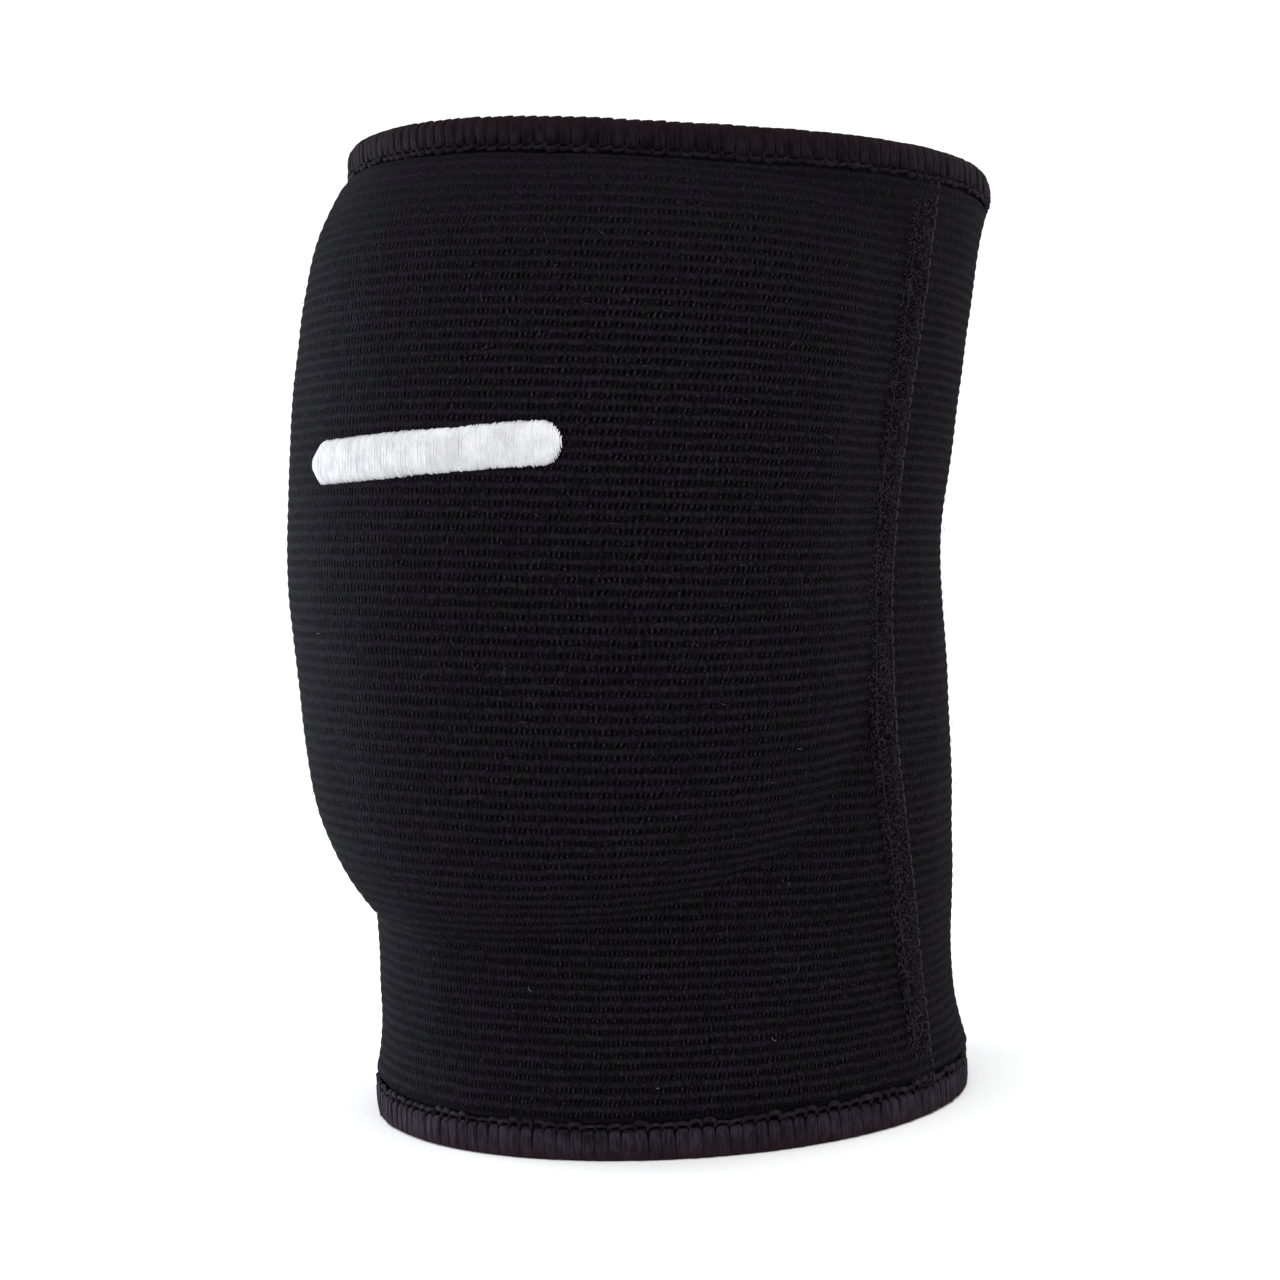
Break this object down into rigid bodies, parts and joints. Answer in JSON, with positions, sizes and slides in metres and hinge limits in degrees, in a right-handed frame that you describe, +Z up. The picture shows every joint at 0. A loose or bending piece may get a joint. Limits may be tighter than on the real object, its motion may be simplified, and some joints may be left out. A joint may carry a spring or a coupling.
{
  "type": "volleyball knee pad",
  "caption": "Pull-on knit knee sleeve with a foam cushion in its front, overlocked hems, a flat side seam and a plain embroidered bar.",
  "frame": {"origin": "under the middle of the bounding box, on the surface that the pad stands on", "axes": "+Z up along the leg, -Y towards the front of the knee"},
  "size_m": [0.1318, 0.144, 0.1893],
  "materials": {
    "knit": "ribbed black elastic knit",
    "pad_cover": "plain black tricot over foam",
    "hem_thread": "fluffy dark overlock thread",
    "seam_thread": "dark looper thread",
    "mark_thread": "glossy white satin stitch"
  },
  "bodies": {
    "root": {"sleeve": "knit", "knee_pad": "pad_cover", "top_hem": "hem_thread", "bottom_hem": "hem_thread", "side_seam": "seam_thread", "embroidered_mark": "mark_thread"}
  },
  "joints": []
}
